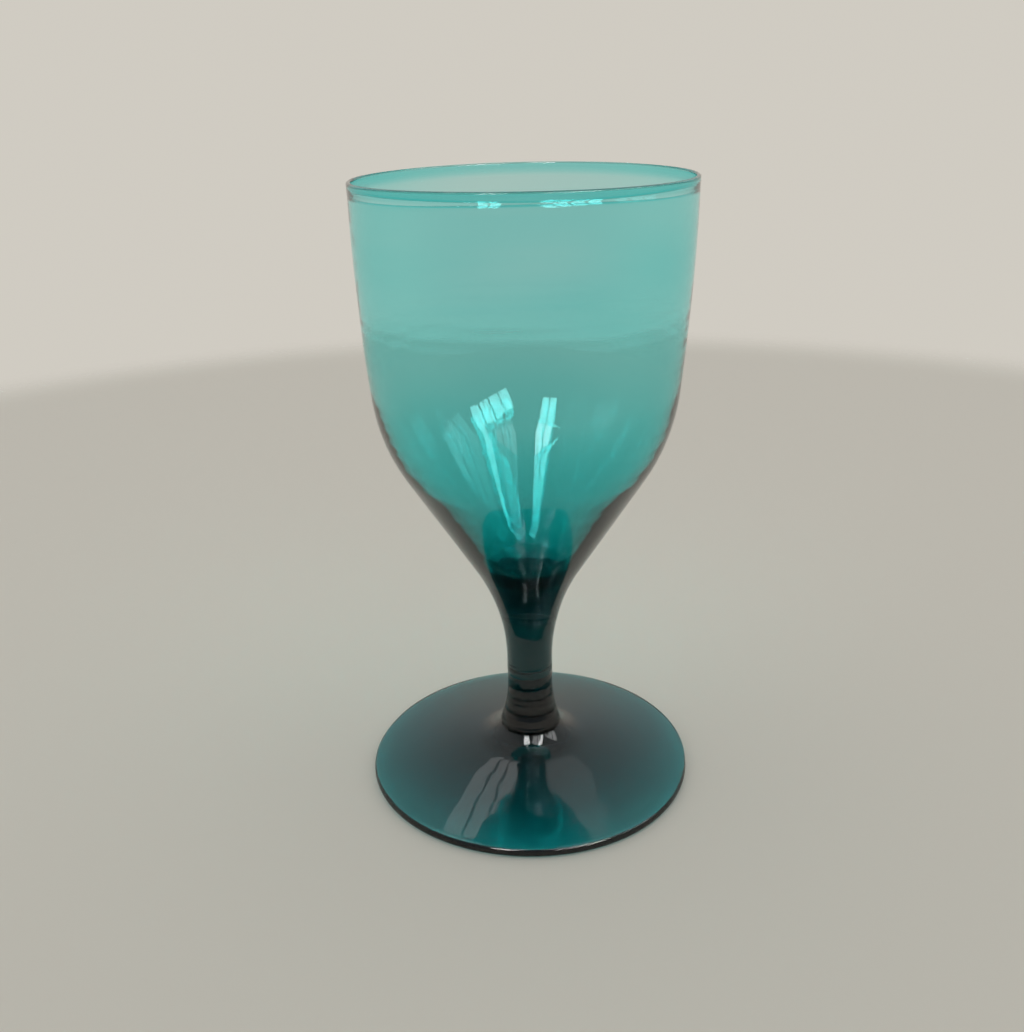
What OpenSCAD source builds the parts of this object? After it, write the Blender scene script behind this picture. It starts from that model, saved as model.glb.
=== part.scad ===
// A hand-blown footed wine glass in four pieces of green glass: bowl, stem, collar and foot.
// They are hot-joined end to end, so each piece is a solid of revolution about Z
// and meets the next one face to face.
// +Z is up. The origin is the centre of the ring that the glass rests on.

/* [Glass] */
// Height from the table to the rim
glass_h = 127; // [125:0.5:129]
// Outside diameter of the rim
rim_d = 65; // [64.5:0.1:65.5]
// Diameter of the foot
foot_d = 70.4; // [64:0.2:78]
// Diameter of the stem at its narrowest
stem_d = 9.9; // [9.7:0.1:10.6]

/* [Bowl] */
// Thickness of the wall at the rim
lip_t = 0.8; // [0.75:0.05:1.1]
// Slope of the cone under the shoulder, measured from upright
cone_angle = 32; // [31.6:0.2:33]
// Radius of the shoulder bend
shoulder_r = 38.6; // [38:0.2:40]
// Slope of the upper wall where it leaves the shoulder, measured from upright
wall_angle = 5.5; // [5:0.5:6]
// Height of the cavity's floor above the table
cavity_floor_z = 46.2; // [46:0.2:48]
// Radius of the cavity's rounded floor
cavity_floor_r = 13.5; // [13:0.5:14]
// Slope of the cavity's cone, measured from upright
cavity_angle = 35; // [34.6:0.2:35.4]
// Radius of the cavity's shoulder bend
cavity_shoulder_r = 38; // [37.5:0.5:39]

/* [Stem] */
// Height at which the bowl's solid base joins the stem
bowl_joint_z = 36; // [32:0.5:40]
// Height at which the stem starts to sweep out into the bowl
neck_z = 25.8; // [25.4:0.2:26]
// Radius of that sweep
neck_r = 42; // [41:0.5:42.5]
// Height at which the stem starts to flare towards the foot
flare_z = 20; // [18:0.5:22]
// Radius of that flare
flare_r = 27.6; // [25:0.2:32]

/* [Collar] */
// Diameter of the collar at its widest
collar_d = 13.2; // [13:0.1:14]
// Height of the collar's top face above the table
collar_top_z = 13.4; // [13:0.1:14]
// Radius of the collar's bulging edge
collar_edge_r = 3; // [2.5:0.1:3.5]

/* [Foot] */
// Height of the foot's centre, where the collar sits
foot_h = 9.4; // [9:0.1:10]
// Radius of the bend from the foot's centre to its flat cone
boss_r = 12; // [9:0.5:14]
// Thickness of the foot's rounded edge
edge_t = 1.9; // [1.6:0.1:2.4]
// Width of the flat ring that the glass rests on
rest_w = 2.8; // [2:0.1:4]
// Height of the hollow under the foot
hollow_h = 2.2; // [1.2:0.1:2.6]
// Diameter of the polished pontil mark
pontil_d = 12; // [10:0.5:16]
// Depth of the polished pontil mark
pontil_depth = 0.8; // [0.4:0.1:1.2]

/* [Hidden] */

// Smoothness of the round pieces
$fn = 128;
// Chords in each long arc and in each small one
LONG = 12;
SHORT = 8;

// Slopes on the collar: out from its bottom face, and in towards the stem
COLLAR_UNDER = 12;
COLLAR_OVER = -15;
// Slopes of the foot's upper face, below level: at the collar and near the edge
BOSS_SLOPE = 45;
FOOT_SLOPE = 10.5;

rim_r = rim_d / 2;
foot_r = foot_d / 2;
stem_r = stem_d / 2;
edge_r = edge_t / 2;
lip_r = lip_t / 2;
// Height at which the walls end and the rounded lip begins
wall_top_z = glass_h - lip_r;
// Centre of the foot's rounded edge, from the axis
edge_centre_r = foot_r - edge_r;

// Points are [radius, height]. A heading is the direction of travel along an outline,
// in degrees from straight up, positive away from the axis.

function last(points) = points[len(points) - 1];

function reversed(points) = [for (i = [len(points) - 1:-1:0]) points[i]];

// Unit step along a heading
function step(heading) = [sin(heading), cos(heading)];

// Points after `start` on an arc that turns from one heading to another
function arc(start, r, from, to, steps = LONG) =
    let (side = sign(to - from))
    [for (i = [1:steps])
        let (a = from + (to - from) * i / steps)
        start + side * r * [cos(from) - cos(a), sin(a) - sin(from)]];

// Length of straight cone that leaves a shoulder and a wall ending upright, `gap` away
function cone_length(gap, angle, bend_r) =
    let (
        wall_lean = tan(wall_angle / 2),
        out = gap[0] - bend_r * (cos(wall_angle) - cos(angle)),
        up = gap[1] - bend_r * (sin(angle) - sin(wall_angle))
    )
    (out - up * wall_lean) / (sin(angle) - cos(angle) * wall_lean);

// Cone, shoulder and upper wall that lead from `start` to `end`
function cup_side(start, end, angle, bend_r) =
    let (
        cone_end = start + cone_length(end - start, angle, bend_r) * step(angle),
        bend = arc(cone_end, bend_r, angle, wall_angle),
        wall_r = (end[1] - last(bend)[1]) / sin(wall_angle)
    )
    concat([cone_end], bend, arc(last(bend), wall_r, wall_angle, 0));

// The sweep from stem to bowl, cut where the two pieces join
neck_start = [stem_r, neck_z];
joint_angle = asin((bowl_joint_z - neck_z) / neck_r);
stem_sweep = arc(neck_start, neck_r, 0, joint_angle, SHORT);
bowl_sweep = arc(last(stem_sweep), neck_r, joint_angle, cone_angle);

// Outside of the bowl from its joint up to the lip
bowl_side = concat(
    [last(stem_sweep)],
    bowl_sweep,
    cup_side(last(bowl_sweep), [rim_r, wall_top_z], cone_angle, shoulder_r)
);

// Inside of the bowl from the bottom of the cavity up to the lip
cavity_floor = [0, cavity_floor_z];
cavity_bowl = arc(cavity_floor, cavity_floor_r, 90, cavity_angle);
cavity_side = concat(
    [cavity_floor],
    cavity_bowl,
    cup_side(last(cavity_bowl), [rim_r - lip_t, wall_top_z], cavity_angle, cavity_shoulder_r)
);

// The stem's flare, from the collar up to where the stem runs straight
flare_angle = -asin((flare_z - collar_top_z) / flare_r);
flare_foot = [stem_r + flare_r * (1 - cos(flare_angle)), collar_top_z];
stem_flare = arc(flare_foot, flare_r, flare_angle, 0, SHORT);

// The collar's outside, from its bottom face up to the stem
collar_seat = [collar_d / 2 - collar_edge_r * (1 - cos(COLLAR_UNDER)), foot_h];
collar_bulge = arc(collar_seat, collar_edge_r, COLLAR_UNDER, COLLAR_OVER, SHORT);
collar_taper = (collar_top_z - last(collar_bulge)[1]) * tan(COLLAR_OVER);

// The foot's upper face and edge, from the collar out and round to the resting ring
foot_boss = arc(collar_seat, boss_r, 90 + BOSS_SLOPE, 90 + FOOT_SLOPE);
edge_top = [edge_centre_r, edge_r] + edge_r * [sin(FOOT_SLOPE), cos(FOOT_SLOPE)];
foot_edge = arc(edge_top, edge_r, 90 + FOOT_SLOPE, 270);

// The pontil mark is a shallow dish in the middle of the underside
pontil_r = pontil_d / 2;
pontil_angle = 2 * atan(pontil_depth / pontil_r);
pontil_dish = arc([pontil_r, hollow_h], pontil_r / sin(pontil_angle), 270 + pontil_angle, 270, SHORT);

// Spins an outline of [radius, height] points about Z
module turned(outline) {
    rotate_extrude() polygon(outline);
}

// Cup with a rounded lip, and a solid base drawn down towards the stem
module bowl() {
    lip = arc([rim_r, wall_top_z], lip_r, 0, -180, SHORT);
    color("mediumaquamarine")
        turned(concat([[0, bowl_joint_z]], bowl_side, lip, reversed(cavity_side)));
}

// Solid stem, flared a little at both ends
module stem() {
    color("darkslategray")
        turned(concat([[0, collar_top_z], flare_foot], stem_flare, stem_sweep, [[0, bowl_joint_z]]));
}

// Low bulging ring that joins the stem to the foot
module collar() {
    collar_rim = [last(collar_bulge)[0] + collar_taper, collar_top_z];
    color("black")
        turned(concat([[0, foot_h], collar_seat], collar_bulge, [collar_rim, [0, collar_top_z]]));
}

// Low conical foot, hollow underneath so that only a ring near its edge touches the table
module foot() {
    rest_inside = [edge_centre_r - rest_w, 0];
    color("teal")
        turned(concat(
            [[0, foot_h], collar_seat],
            foot_boss,
            [edge_top],
            foot_edge,
            [rest_inside, [pontil_r, hollow_h]],
            pontil_dish
        ));
}

bowl();
stem();
collar();
foot();
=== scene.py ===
"""A hand-blown wine glass of blue-green glass, standing on a plain pale floor.

The CAD nodes bowl, stem, collar and foot are replaced by closed lathe forms of glass, two for the bowl and
one for each of the others. They have the CAD's outside and a hand-made unevenness, and the bowl's wall is
thinner. Lengths are in millimetres until they become mesh coordinates, and angles are in degrees.
"""

import math

import bpy
import numpy as np
from mathutils import Matrix, Quaternion, Vector


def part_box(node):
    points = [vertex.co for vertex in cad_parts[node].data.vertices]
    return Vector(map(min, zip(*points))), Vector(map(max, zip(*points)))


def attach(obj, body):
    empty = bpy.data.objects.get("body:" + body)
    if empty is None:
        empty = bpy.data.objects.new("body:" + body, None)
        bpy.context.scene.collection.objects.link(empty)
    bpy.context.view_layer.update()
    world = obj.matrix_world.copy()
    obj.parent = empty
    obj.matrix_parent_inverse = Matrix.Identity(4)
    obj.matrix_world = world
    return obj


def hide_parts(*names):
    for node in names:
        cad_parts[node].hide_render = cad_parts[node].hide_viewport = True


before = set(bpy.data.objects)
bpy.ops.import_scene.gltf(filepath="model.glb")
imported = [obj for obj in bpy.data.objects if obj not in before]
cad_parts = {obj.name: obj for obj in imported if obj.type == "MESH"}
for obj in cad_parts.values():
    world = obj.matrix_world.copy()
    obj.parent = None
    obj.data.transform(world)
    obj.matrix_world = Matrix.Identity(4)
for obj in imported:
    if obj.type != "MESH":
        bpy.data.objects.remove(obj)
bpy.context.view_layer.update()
MM = 0.001


def span(node):
    """Lowest height, highest height and largest radius of a CAD node, in millimetres."""
    low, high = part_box(node)
    return low.z / MM, high.z / MM, high.x / MM


# Sizes taken from the frame
BOWL_JOINT_Z, GLASS_H, RIM_R = span("bowl")
COLLAR_TOP_Z = span("stem")[0]
FOOT_H, _, COLLAR_R = span("collar")
FOOT_R = span("foot")[2]

# Bowl: thickness of its lip, then the outside's slopes from upright and the bend between them
LIP_T = 0.38
CONE_ANGLE = 32
SHOULDER_R = 38.6
WALL_ANGLE = 5.5
# Its cavity: height and radius of the floor, slope of the cone, and the bend above that
CAVITY_FLOOR_Z = 45.8
CAVITY_FLOOR_R = 13
CAVITY_ANGLE = 35.2
CAVITY_SHOULDER_R = 38.2
# Height at which the bowl's walls give way to its solid base
BASE_TOP_Z = 45.4

# Stem: its radius where it is straight, and the height and radius of its sweep at each end
STEM_R = 4.95
NECK_Z = 25.8
NECK_R = 42
FLARE_Z = 20
FLARE_R = 27.6

# Collar: radius of its bulging edge, and slopes below and above that from upright
COLLAR_EDGE_R = 3
COLLAR_UNDER = 12
COLLAR_OVER = -15

# Foot: bend near the collar, slopes from level, rounded edge, resting ring, hollow and pontil mark
BOSS_R = 12
BOSS_SLOPE = 45
FOOT_SLOPE = 10.5
EDGE_R = 0.95
REST_W = 2.8
HOLLOW_H = 2.2
PONTIL_R = 6
PONTIL_DEPTH = 0.8

# Mesh: sides of each lathe form, the longest step along an outline, and along its small curves
SIDES = 200
STEP = 0.5
FINE_STEP = 0.15
# Gap between pieces that are welded in the real glass, and under the foot
WELD_GAP = 0.01
FLOOR_GAP = 0.02
# Heights that differ by less than this are level
LEVEL = 1e-6

GLASS_IOR = 1.5
# Red, green and blue that each glass takes off per metre: the thin walls, the solid parts and the foot
THIN_GLASS = (1450, 225, 220)
SOLID_GLASS = (1500, 340, 325)
FOOT_GLASS = (1150, 395, 365)
# Depth of the dimples in the skin, and roughness of its dullest patches
DIMPLE_DEPTH = 0.012
HAZE = 0.02

# Light of the studio beyond the glass, above that and on the camera's side
FAR_SIDE = (0.63, 0.60, 0.54, 1)
FAR_ABOVE = (0.65, 0.69, 0.68, 1)
NEAR_SIDE = (0.22, 0.26, 0.28, 1)
FLOOR_COLOUR = (0.89, 0.79, 0.70, 1)
FLOOR_R = 500
# Distances from the glass between which the floor fades into the backdrop
FLOOR_FADE = (380, 460)

# Softboxes, as name, azimuth, elevation, panes, brightness and roll. Azimuth 0 is the camera's side and 90
# its right. The ones at the right and left are windows, and the ones at the back are faint.
SOFTBOXES = (
    ("right_low", (12, 56), (28, 41), 4, 14, 10),
    ("right_high", (12, 44), (42, 73), 3, 3.5, 0),
    ("right_far", (46, 58), (42, 73), 1, 12, 0),
    ("right_side", (64, 104), (30, 52), 3, 3, 0),
    ("left", (-33, -12), (29, 73), 2, 13, 0),
    ("back_left", (-174, -158), (46, 59), 3, 0.9, -20),
    ("back_right", (158, 172), (48, 58), 1, 0.3, 0),
)
SOFTBOX_DISTANCE = 3000
# Share of each pane's width that is frame
SOFTBOX_GAP = 0.16

# Camera: focal length for a 36 mm frame, place, and how far it looks down, turns right and lifts its
# right side
CAMERA_LENS = 37.85
CAMERA_PLACE = (0, -209.9, 143.96)
CAMERA_ANGLES = (22.007, -0.878, -1.254)
LIGHT_BOUNCES = 32


# ---------------------------------------------------------------- outlines
# Points are (radius, height). A heading is the angle from straight up, positive away from the axis.


def heading(angle):
    """Unit step along a heading."""
    return np.array([math.sin(math.radians(angle)), math.cos(math.radians(angle))])


def arc(start, radius, first, last, longest=STEP):
    """Points after start on an arc that turns from one heading to another."""
    count = max(6, math.ceil(radius * math.radians(abs(last - first)) / longest))
    side = math.copysign(1, last - first)
    a = np.radians(np.linspace(first, last, count + 1)[1:])
    b = math.radians(first)
    turn = np.stack([math.cos(b) - np.cos(a), np.sin(a) - math.sin(b)], axis=1)
    return np.asarray(start) + side * radius * turn


def line(start, end, longest=STEP):
    """Points after start on a straight line to end."""
    start, end = np.asarray(start, float), np.asarray(end, float)
    count = max(1, math.ceil(np.linalg.norm(end - start) / longest))
    return start + (end - start) * np.linspace(0, 1, count + 1)[1:, None]


def cup_side(start, end, angle, bend_r):
    """Cone, shoulder and upper wall that lead from start to end, where the wall is upright."""
    start, end = np.asarray(start), np.asarray(end)
    lean = math.tan(math.radians(WALL_ANGLE / 2))
    out, up = (end - start) - bend_r * (heading(WALL_ANGLE)[::-1] - heading(angle)[::-1]) * (1, -1)
    cone = (out - up * lean) / (heading(angle)[0] - heading(angle)[1] * lean)
    cone_end = start + cone * heading(angle)
    bend = arc(cone_end, bend_r, angle, WALL_ANGLE)
    wall_r = (end[1] - bend[-1][1]) / heading(WALL_ANGLE)[0]
    return np.vstack([line(start, cone_end), bend, arc(bend[-1], wall_r, WALL_ANGLE, 0)])


NECK_START = (STEM_R, NECK_Z)
JOINT_ANGLE = math.degrees(math.asin((BOWL_JOINT_Z - NECK_Z) / NECK_R))
STEM_SWEEP = arc(NECK_START, NECK_R, 0, JOINT_ANGLE)
WALL_TOP_Z = GLASS_H - LIP_T / 2
COLLAR_SEAT = (COLLAR_R - COLLAR_EDGE_R * (1 - heading(COLLAR_UNDER)[1]), FOOT_H)


def bowl_outside():
    """From the weld with the stem up to the lip."""
    sweep = arc(STEM_SWEEP[-1], NECK_R, JOINT_ANGLE, CONE_ANGLE)
    side = cup_side(sweep[-1], (RIM_R, WALL_TOP_Z), CONE_ANGLE, SHOULDER_R)
    return np.vstack([STEM_SWEEP[-1:], sweep, side])


def bowl_cut():
    """The bowl's outside in two parts, below and above the top of its solid base."""
    side = bowl_outside()
    cut = (np.interp(BASE_TOP_Z, side[:, 1], side[:, 0]), BASE_TOP_Z)
    above = side[:, 1] > BASE_TOP_Z
    return np.vstack([side[~above], cut]), np.vstack([cut, side[above]])


def bowl_outline():
    """From the weld with the base, up the outside, over the lip and down to the bottom of the cavity."""
    outside = bowl_cut()[1]
    lip = arc(outside[-1], LIP_T / 2, 0, -180, FINE_STEP)
    floor = (0, CAVITY_FLOOR_Z)
    cavity = arc(floor, CAVITY_FLOOR_R, 90, CAVITY_ANGLE)
    inside = cup_side(cavity[-1], (RIM_R - LIP_T, WALL_TOP_Z), CAVITY_ANGLE, CAVITY_SHOULDER_R)
    weld = line((0, BASE_TOP_Z), outside[0])
    return np.vstack([[(0, BASE_TOP_Z)], weld, outside[1:], lip, inside[-2::-1], cavity[::-1], [floor]])


def base_outline():
    """From the weld with the stem up to the weld with the bowl's walls."""
    outside = bowl_cut()[0]
    weld = line((0, BOWL_JOINT_Z), outside[0])
    return np.vstack([[(0, BOWL_JOINT_Z)], weld, outside[1:], line(outside[-1], (0, BASE_TOP_Z))])


def stem_outline():
    """From the weld at the collar up to the weld at the bowl."""
    angle = -math.degrees(math.asin((FLARE_Z - COLLAR_TOP_Z) / FLARE_R))
    flare_foot = (STEM_R + FLARE_R * (1 - heading(angle)[1]), COLLAR_TOP_Z)
    flare = arc(flare_foot, FLARE_R, angle, 0, FINE_STEP)
    return np.vstack([
        [(0, COLLAR_TOP_Z)],
        line((0, COLLAR_TOP_Z), flare_foot),
        flare,
        line(flare[-1], NECK_START, FINE_STEP),
        STEM_SWEEP,
        line(STEM_SWEEP[-1], (0, BOWL_JOINT_Z)),
    ])


def collar_outline():
    """From the weld at the foot up to the weld at the stem."""
    bulge = arc(COLLAR_SEAT, COLLAR_EDGE_R, COLLAR_UNDER, COLLAR_OVER, FINE_STEP)
    rise = COLLAR_TOP_Z - bulge[-1][1]
    top = (bulge[-1][0] + rise * math.tan(math.radians(COLLAR_OVER)), COLLAR_TOP_Z)
    return np.vstack([
        [(0, FOOT_H)],
        line((0, FOOT_H), COLLAR_SEAT),
        bulge,
        line(bulge[-1], top, FINE_STEP),
        line(top, (0, COLLAR_TOP_Z)),
    ])


def foot_outline():
    """From the pontil mark underneath, out over the edge and up to the weld at the collar."""
    boss = arc(COLLAR_SEAT, BOSS_R, 90 + BOSS_SLOPE, 90 + FOOT_SLOPE)
    edge_centre = FOOT_R - EDGE_R
    edge_top = np.array([edge_centre, EDGE_R]) + EDGE_R * heading(FOOT_SLOPE)
    edge = arc(edge_top, EDGE_R, 90 + FOOT_SLOPE, 270, FINE_STEP)
    rest_inside = (edge_centre - REST_W, 0)
    pontil_rim = (PONTIL_R, HOLLOW_H)
    pontil_angle = 2 * math.degrees(math.atan(PONTIL_DEPTH / PONTIL_R))
    dish_r = PONTIL_R / heading(pontil_angle)[0]
    dish = arc(pontil_rim, dish_r, 270 + pontil_angle, 270)
    from_above = np.vstack([
        [(0, FOOT_H)],
        line((0, FOOT_H), COLLAR_SEAT),
        boss,
        line(boss[-1], edge_top),
        edge,
        line(edge[-1], rest_inside),
        line(rest_inside, pontil_rim),
        dish,
    ])
    return from_above[::-1]


# ---------------------------------------------------------------- unevenness of hand-made glass
# Each function whose name ends in _shape takes the angle about the axis, the radius, the height and the
# outward normal of every point, and returns the radius and height that the hand-made surface has there.

RANDOM = np.random.default_rng(7)


def waves(amplitude, around, lengths, count=20):
    """A smooth surface error of about `amplitude`. It has up to `around` crests about the axis, and
    wavelengths between the two `lengths` along the outline."""
    crests = RANDOM.integers(-around, around + 1, count)
    pitch = 2 * math.pi / RANDOM.uniform(*lengths, count)
    phase = RANDOM.uniform(0, 2 * math.pi, count)

    def error(theta, along):
        total = sum(np.cos(n * theta + k * along + p) for n, k, p in zip(crests, pitch, phase))
        return amplitude * math.sqrt(2 / count) * total

    return error


def ease(value, start, end):
    """0 before start, 1 after end, and smooth between them."""
    t = np.clip((value - start) / (end - start), 0, 1)
    return t**3 * (10 - 15 * t + 6 * t * t)


OUT_OF_ROUND = waves(0.12, 3, (150, 300), 6)
BLOWING_LINES = {True: waves(0.002, 1, (1.8, 5), 30), False: waves(0.002, 1, (1.8, 5), 30)}
WALL_WAVES = {True: waves(0.02, 5, (16, 60)), False: waves(0.02, 5, (16, 60))}
RIM_WAVES = waves(0.1, 4, (200, 300), 6)
STEM_WAVES = waves(0.015, 3, (4, 14))
FOOT_WAVES = waves(0.004, 6, (5, 14))
FOOT_STREAKS = waves(0.006, 38, (9, 40), 40)

# Heights between which the blowing lines come in, and above which the bowl is out of round
LINES_START_Z = 50
LINES_FULL_Z = 80
ROUND_BELOW_Z = 60
# The fire-polished bead inside the rim: its depth, its height down the wall, the share of it that stands
# out on the outside, and how far below the rim it is full
BEAD_T = 0.40
BEAD_H = 3.1
BEAD_OUTSIDE = 0.1
BEAD_FULL = 0.5
# Distance from the collar in which the foot's streaks fade
STREAK_FADE = 9
# Rings that the tool left on the stem and collar: height, depth, width and tilt
TOOL_RINGS = (
    (24.6, 0.035, 0.30, 0.25),
    (22.4, 0.030, 0.35, -0.2),
    (19.4, 0.025, 0.40, 0.3),
    (16.9, 0.035, 0.45, -0.15),
    (15.6, 0.040, 0.30, 0.2),
    (13.4, 0.120, 0.45, 0.0),
    (11.2, 0.030, 0.35, 0.1),
)


def bowl_shape(theta, r, z, n_r, n_z):
    outer = n_r > 0
    lines = np.where(outer, BLOWING_LINES[True](theta, z), BLOWING_LINES[False](theta, z))
    lines = lines * ease(z, LINES_START_Z, LINES_FULL_Z)
    broad = np.where(outer, WALL_WAVES[True](theta, z), WALL_WAVES[False](theta, z))
    # smooth at the axis and true at the weld with the stem
    error = (lines + broad) * ease(r, 0, 5) * ease(z, BOWL_JOINT_Z, BOWL_JOINT_Z + 5)
    bead = np.where(outer, BEAD_OUTSIDE, 1) * BEAD_T * ease(z, GLASS_H - BEAD_H, GLASS_H - BEAD_FULL)
    upper = ease(z, ROUND_BELOW_Z, GLASS_H)
    offset = error + bead * np.abs(n_r)
    return r + offset * n_r + upper * OUT_OF_ROUND(theta, z), z + offset * n_z + upper * RIM_WAVES(theta, z)


def stem_shape(theta, r, z, n_r, n_z):
    # true at the welds with the foot and the bowl
    error = STEM_WAVES(theta, z) * ease(z, FOOT_H, FOOT_H + 2) * (1 - ease(z, BOWL_JOINT_Z - 5, BOWL_JOINT_Z))
    for height, depth, width, tilt in TOOL_RINGS:
        level = height + tilt * np.cos(theta + height)
        error = error - depth * np.exp(-(((z - level) / width) ** 2))
    return r + error * n_r, z + error * n_z


def foot_shape(theta, r, z, n_r, n_z):
    streaks = FOOT_STREAKS(theta, r) * np.exp(-((r - COLLAR_R) / STREAK_FADE))
    upper_face = ease(n_z, 0, 0.3) * ease(r, COLLAR_R, COLLAR_R + 3)
    edge = ease(n_r, 0.3, 0.9) * ease(r, FOOT_R - 4, FOOT_R - 1)
    error = upper_face * (FOOT_WAVES(theta, r) + streaks) + edge * 2 * OUT_OF_ROUND(theta, z)
    return r + error * n_r, z + error * n_z


# ---------------------------------------------------------------- lathe forms


def normals(outline):
    """Outward unit normals along an outline that keeps the glass on its left."""
    along = np.gradient(outline, axis=0)
    along /= np.linalg.norm(along, axis=1)[:, None]
    return along[:, 1], -along[:, 0]


def draw_back(outline, welds):
    """The outline with the flat weld faces at the heights in welds drawn back by half the gap. Also says
    which of its points are at a weld, and which of its steps lie on one."""
    outline = outline.copy()
    outline[0][0] = outline[-1][0] = 0
    middle = outline[:, 1].mean()
    at_weld = np.zeros(len(outline), bool)
    for z in welds:
        here = np.abs(outline[:, 1] - z) < LEVEL
        outline[here, 1] += math.copysign(WELD_GAP / 2, middle - z)
        at_weld |= here
    level = np.abs(np.diff(outline[:, 1])) < LEVEL
    return outline, at_weld, at_weld[:-1] & at_weld[1:] & level


def turned_faces(rings):
    """Faces of a closed form of that many rings, whose two points on the axis are numbered after them."""
    first, last, top = rings * SIDES, rings * SIDES + 1, (rings - 1) * SIDES
    sides = [(a, (a + 1) % SIDES) for a in range(SIDES)]
    faces = [(first, b, a) for a, b in sides]
    for low in range(0, top, SIDES):
        high = low + SIDES
        faces += [(low + a, low + b, high + b, high + a) for a, b in sides]
    return faces + [(top + a, top + b, last) for a, b in sides]


def sharpen(mesh, rings):
    """Marks the edges that run along the numbered rings as sharp."""
    ends = np.zeros(len(mesh.edges) * 2, int)
    mesh.edges.foreach_get("vertices", ends)
    ring = ends.reshape(-1, 2) // SIDES
    sharp = (ring[:, 0] == ring[:, 1]) & np.isin(ring[:, 0], rings)
    mesh.attributes.new("sharp_edge", "BOOLEAN", "EDGE").data.foreach_set("value", sharp)


def lathe(name, outline, welds, shape):
    """A closed form turned from an outline that starts and ends on the axis. welds lists the heights of
    its flat weld faces, and shape gives its unevenness."""
    outline, at_weld, on_weld = draw_back(outline, welds)
    # a weld's rim moves only outwards, and the rest of it doesn't move
    n_r, n_z = normals(outline)
    n_r[at_weld], n_z[at_weld] = 1, 0
    still = np.concatenate([[True], on_weld[:-1] & on_weld[1:], [True]])
    n_r[still] = n_z[still] = 0
    theta = np.linspace(0, 2 * math.pi, SIDES, endpoint=False)
    r, z = shape(theta, *(column[1:-1, None] for column in (outline[:, 0], outline[:, 1], n_r, n_z)))
    rings = np.stack([r * np.cos(theta), r * np.sin(theta), z], axis=2).reshape(-1, 3)
    on_axis = [(0, 0, outline[0][1]), (0, 0, outline[-1][1])]
    mesh = bpy.data.meshes.new(name)
    mesh.from_pydata((np.vstack([rings, on_axis]) * MM).tolist(), [], turned_faces(len(outline) - 2))
    mesh.validate()
    weld_faces = np.repeat(on_weld, SIDES).astype(np.float32)
    mesh.attributes.new("weld", "FLOAT", "FACE").data.foreach_set("value", weld_faces)
    mesh.shade_smooth()
    sharpen(mesh, np.flatnonzero(on_weld[:-1] != on_weld[1:]))
    piece = bpy.data.objects.new(name, mesh)
    bpy.context.scene.collection.objects.link(piece)
    return piece


# ---------------------------------------------------------------- shader nodes


def add(nodes, kind, **values):
    """A shader node with its settings and unlinked inputs filled in."""
    node = nodes.new(kind)
    for key, value in values.items():
        if hasattr(node, key):
            setattr(node, key, value)
        else:
            node.inputs[key.replace("_", " ")].default_value = value
    return node


def ramp(tree, source, start, end, low=0, high=1, **settings):
    """Output that goes from low to high while the source goes from start to end."""
    node = add(tree.nodes, "ShaderNodeMapRange", **settings)
    for socket, value in (("From Min", start), ("From Max", end), ("To Min", low), ("To Max", high)):
        node.inputs[socket].default_value = value
    tree.links.new(source, node.inputs["Value"])
    return node.outputs["Result"]


def noise(tree, place, **values):
    node = add(tree.nodes, "ShaderNodeTexNoise", **values)
    tree.links.new(place, node.inputs["Vector"])
    return node.outputs["Fac"]


def split(tree, place):
    """The x, y and z outputs of a place."""
    node = add(tree.nodes, "ShaderNodeSeparateXYZ")
    tree.links.new(place, node.inputs["Vector"])
    return node.outputs["X"], node.outputs["Y"], node.outputs["Z"]


def combine(tree, operation, a, b):
    node = add(tree.nodes, "ShaderNodeMath", operation=operation)
    tree.links.new(a, node.inputs[0])
    tree.links.new(b, node.inputs[1])
    return node.outputs[0]


# ---------------------------------------------------------------- glass


def dimples(tree, place, size):
    """The faint dimples of a fire-polished skin, each about size across."""
    bump = add(tree.nodes, "ShaderNodeBump", Strength=1, Distance=DIMPLE_DEPTH * MM)
    tree.links.new(noise(tree, place, Scale=1 / (size * MM), Detail=2), bump.inputs["Height"])
    return bump.outputs["Normal"]


def dullness(tree, place, worn):
    """Roughness: a film of dust and handling in patches, and scratches of roughness worn where the foot
    has rubbed on tables."""
    haze = ramp(tree, noise(tree, place, Scale=90, Detail=5, Roughness=0.65), 0.52, 0.8, 0, HAZE)
    near_table = ramp(tree, split(tree, place)[2], 0.05 * MM, 0.4 * MM, worn, 0)
    scratches = combine(tree, "MULTIPLY", near_table, noise(tree, place, Scale=400, Detail=3))
    return combine(tree, "ADD", haze, scratches)


def glass(name, absorbs, dimple, worn):
    """Clear glass that takes off `absorbs` of each colour per metre. dimple is the size of the dimples in
    its skin, and worn is how rough the ring that it rests on has become."""
    material = bpy.data.materials.new(name)
    material.use_nodes = True
    tree = material.node_tree
    shader = tree.nodes["Principled BSDF"]
    shader.inputs["Base Color"].default_value = (1, 1, 1, 1)
    shader.inputs["Transmission Weight"].default_value = 1
    shader.inputs["IOR"].default_value = GLASS_IOR

    # welds don't bend the light that crosses them
    weld = add(tree.nodes, "ShaderNodeAttribute", attribute_name="weld")
    tree.links.new(ramp(tree, weld.outputs["Fac"], 0, 1, GLASS_IOR, 1), shader.inputs["IOR"])

    place = add(tree.nodes, "ShaderNodeTexCoord").outputs["Object"]
    tree.links.new(dimples(tree, place, dimple), shader.inputs["Normal"])
    tree.links.new(dullness(tree, place, worn), shader.inputs["Roughness"])

    inside = add(tree.nodes, "ShaderNodeVolumeAbsorption")
    density = max(absorbs)
    inside.inputs["Density"].default_value = density
    inside.inputs["Color"].default_value = (*(1 - a / density for a in absorbs), 1)
    tree.links.new(inside.outputs["Volume"], tree.nodes["Material Output"].inputs["Volume"])
    return material


# ---------------------------------------------------------------- stage


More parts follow.
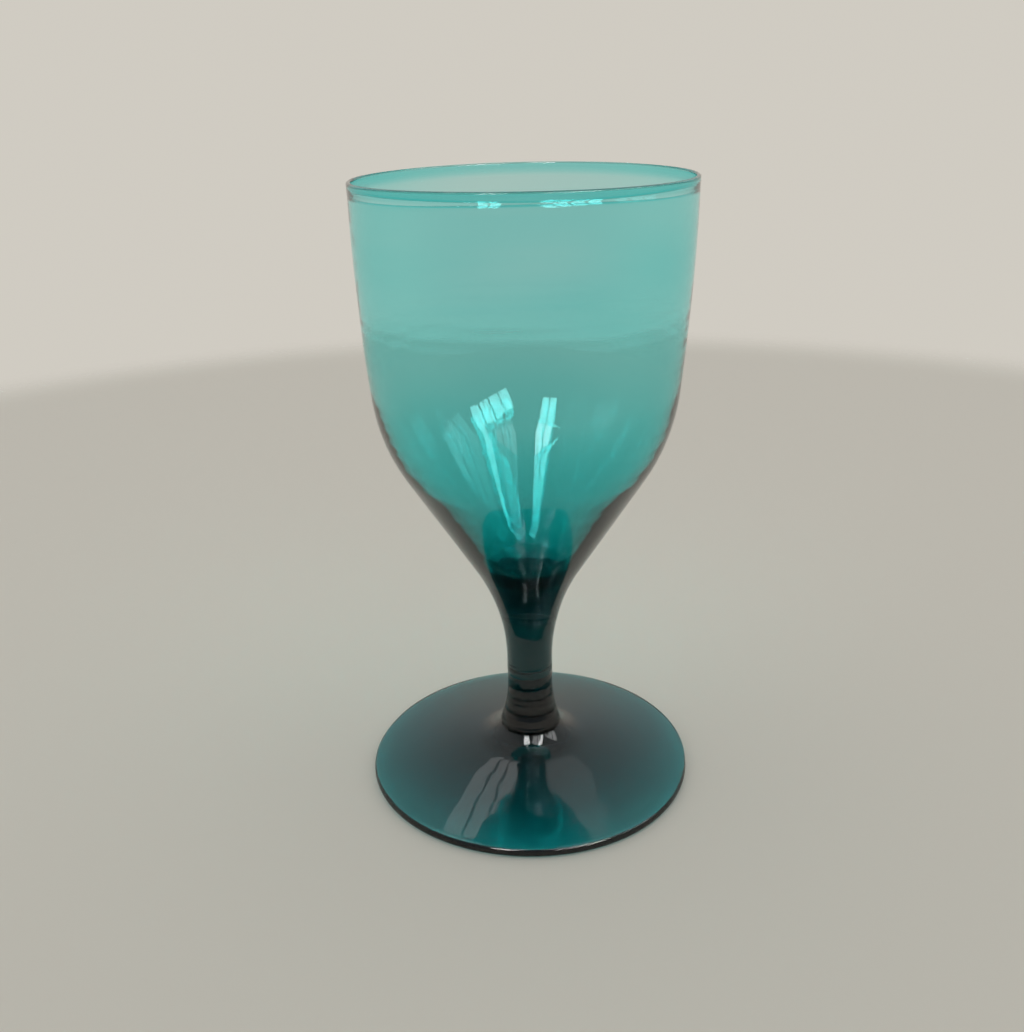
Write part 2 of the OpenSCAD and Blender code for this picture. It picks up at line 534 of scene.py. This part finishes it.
def studio():
    """A plain studio: pale beyond the glass, a little cooler above that, and dimmer on the camera's side."""
    world = bpy.data.worlds.new("studio")
    bpy.context.scene.world = world
    world.use_nodes = True
    tree = world.node_tree
    place = add(tree.nodes, "ShaderNodeTexCoord").outputs["Generated"]
    _, y, z = split(tree, place)
    far, light = (add(tree.nodes, "ShaderNodeMix", data_type="RGBA") for _ in range(2))
    far.inputs["A"].default_value = FAR_SIDE
    far.inputs["B"].default_value = FAR_ABOVE
    tree.links.new(ramp(tree, z, 0.1, 0.4, interpolation_type="SMOOTHSTEP"), far.inputs["Factor"])
    light.inputs["A"].default_value = NEAR_SIDE
    tree.links.new(far.outputs["Result"], light.inputs["B"])
    tree.links.new(ramp(tree, y, -0.95, 0.1, interpolation_type="SMOOTHSTEP"), light.inputs["Factor"])
    tree.links.new(light.outputs["Result"], tree.nodes["Background"].inputs["Color"])


def floor_material():
    """Pale and nearly matt, and clear past the distance where it has faded into the backdrop."""
    material = bpy.data.materials.new("floor")
    material.use_nodes = True
    tree = material.node_tree
    shader = tree.nodes["Principled BSDF"]
    shader.inputs["Base Color"].default_value = FLOOR_COLOUR
    shader.inputs["Roughness"].default_value = 0.8
    shader.inputs["Specular IOR Level"].default_value = 0.2
    place = add(tree.nodes, "ShaderNodeTexCoord").outputs["Object"]
    distance = add(tree.nodes, "ShaderNodeVectorMath", operation="LENGTH")
    tree.links.new(place, distance.inputs[0])
    near, far = (d * MM for d in FLOOR_FADE)
    fade = ramp(tree, distance.outputs["Value"], near, far, interpolation_type="SMOOTHERSTEP")
    mix = add(tree.nodes, "ShaderNodeMixShader")
    tree.links.new(fade, mix.inputs[0])
    tree.links.new(shader.outputs[0], mix.inputs[1])
    tree.links.new(add(tree.nodes, "ShaderNodeBsdfTransparent").outputs[0], mix.inputs[2])
    tree.links.new(mix.outputs[0], tree.nodes["Material Output"].inputs["Surface"])
    return material


def floor():
    corners = 96
    turn = np.linspace(0, 2 * math.pi, corners, endpoint=False)
    rim = [(FLOOR_R * math.cos(t) * MM, FLOOR_R * math.sin(t) * MM, -FLOOR_GAP * MM) for t in turn]
    mesh = bpy.data.meshes.new("floor")
    mesh.from_pydata(rim, [], [list(range(corners))])
    mesh.materials.append(floor_material())
    disc = bpy.data.objects.new("floor", mesh)
    bpy.context.scene.collection.objects.link(disc)


def toward(azimuth, elevation):
    """Unit vector from the glass."""
    a, e = math.radians(azimuth), math.radians(elevation)
    return Vector((math.sin(a) * math.cos(e), -math.cos(a) * math.cos(e), math.sin(e)))


def softbox(name, azimuth, elevation, panes, brightness, roll):
    """A row of lit panes that faces the glass and shows only in glossy and clear surfaces. azimuth and
    elevation are (from, to)."""
    middle = sum(elevation) / 2
    back = toward(sum(azimuth) / 2, middle)
    turn = back.to_track_quat("Z", "Y") @ Quaternion((0, 0, 1), math.radians(roll))
    distance = SOFTBOX_DISTANCE * MM
    spread = (azimuth[1] - azimuth[0]) * math.cos(math.radians(middle)), elevation[1] - elevation[0]
    across, high = (2 * distance * math.tan(math.radians(a / 2)) for a in spread)
    pane = across / panes
    for i in range(panes):
        data = bpy.data.lights.new(f"{name}_{i}", "AREA")
        data.shape = "RECTANGLE"
        data.size, data.size_y = pane * (1 - SOFTBOX_GAP), high
        data.energy = brightness * math.pi * data.size * data.size_y
        lamp = bpy.data.objects.new(data.name, data)
        place = Vector(((i + 0.5) * pane - across / 2, 0, 0))
        lamp.matrix_world = Matrix.LocRotScale(back * distance + turn @ place, turn, None)
        bpy.context.scene.collection.objects.link(lamp)
        lamp.visible_camera = False
        lamp.visible_diffuse = False


def camera():
    """At the photograph's viewing angle, about 25 cm from the foot."""
    pitch, yaw, roll = (math.radians(a) for a in CAMERA_ANGLES)
    forward = Vector((math.sin(yaw) * math.cos(pitch), math.cos(yaw) * math.cos(pitch), -math.sin(pitch)))
    level = Vector((math.cos(yaw), -math.sin(yaw), 0))
    upright = level.cross(forward)
    right = math.cos(roll) * level + math.sin(roll) * upright
    up = math.cos(roll) * upright - math.sin(roll) * level
    turn = Matrix((right, up, -forward)).transposed().to_4x4()
    data = bpy.data.cameras.new("camera")
    data.lens = CAMERA_LENS
    data.clip_start = 0.01
    view = bpy.data.objects.new("camera", data)
    view.matrix_world = Matrix.Translation(Vector(CAMERA_PLACE) * MM) @ turn
    bpy.context.scene.collection.objects.link(view)
    bpy.context.scene.camera = view


# ---------------------------------------------------------------- the scene

camera()
studio()
floor()
for row in SOFTBOXES:
    softbox(*row)

# One row for each closed form: the CAD node that it stands for, its outline, its weld heights, its
# unevenness, what it absorbs per metre, the size of its dimples, and how worn it is underneath
PIECES = {
    "bowl_glass": ("bowl", bowl_outline(), (BASE_TOP_Z,), bowl_shape, THIN_GLASS, 5, 0),
    "bowl_base_glass": ("bowl", base_outline(), (BOWL_JOINT_Z, BASE_TOP_Z), bowl_shape, SOLID_GLASS, 4, 0),
    "stem_glass": ("stem", stem_outline(), (COLLAR_TOP_Z, BOWL_JOINT_Z), stem_shape, SOLID_GLASS, 3, 0),
    "collar_glass": ("collar", collar_outline(), (FOOT_H, COLLAR_TOP_Z), stem_shape, SOLID_GLASS, 2, 0),
    "foot_glass": ("foot", foot_outline(), (FOOT_H,), foot_shape, FOOT_GLASS, 4, 0.2),
}
for name, (node, outline, welds, shape, absorbs, dimple, worn) in PIECES.items():
    piece = lathe(name, outline, welds, shape)
    piece.data.materials.append(glass(name, absorbs, dimple, worn))
    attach(piece, "root")
    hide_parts(node)

scene = bpy.context.scene
scene.view_settings.view_transform = "Standard"
scene.cycles.max_bounces = LIGHT_BOUNCES
scene.cycles.transmission_bounces = LIGHT_BOUNCES
scene.cycles.glossy_bounces = LIGHT_BOUNCES // 2
scene.cycles.transparent_max_bounces = LIGHT_BOUNCES // 2
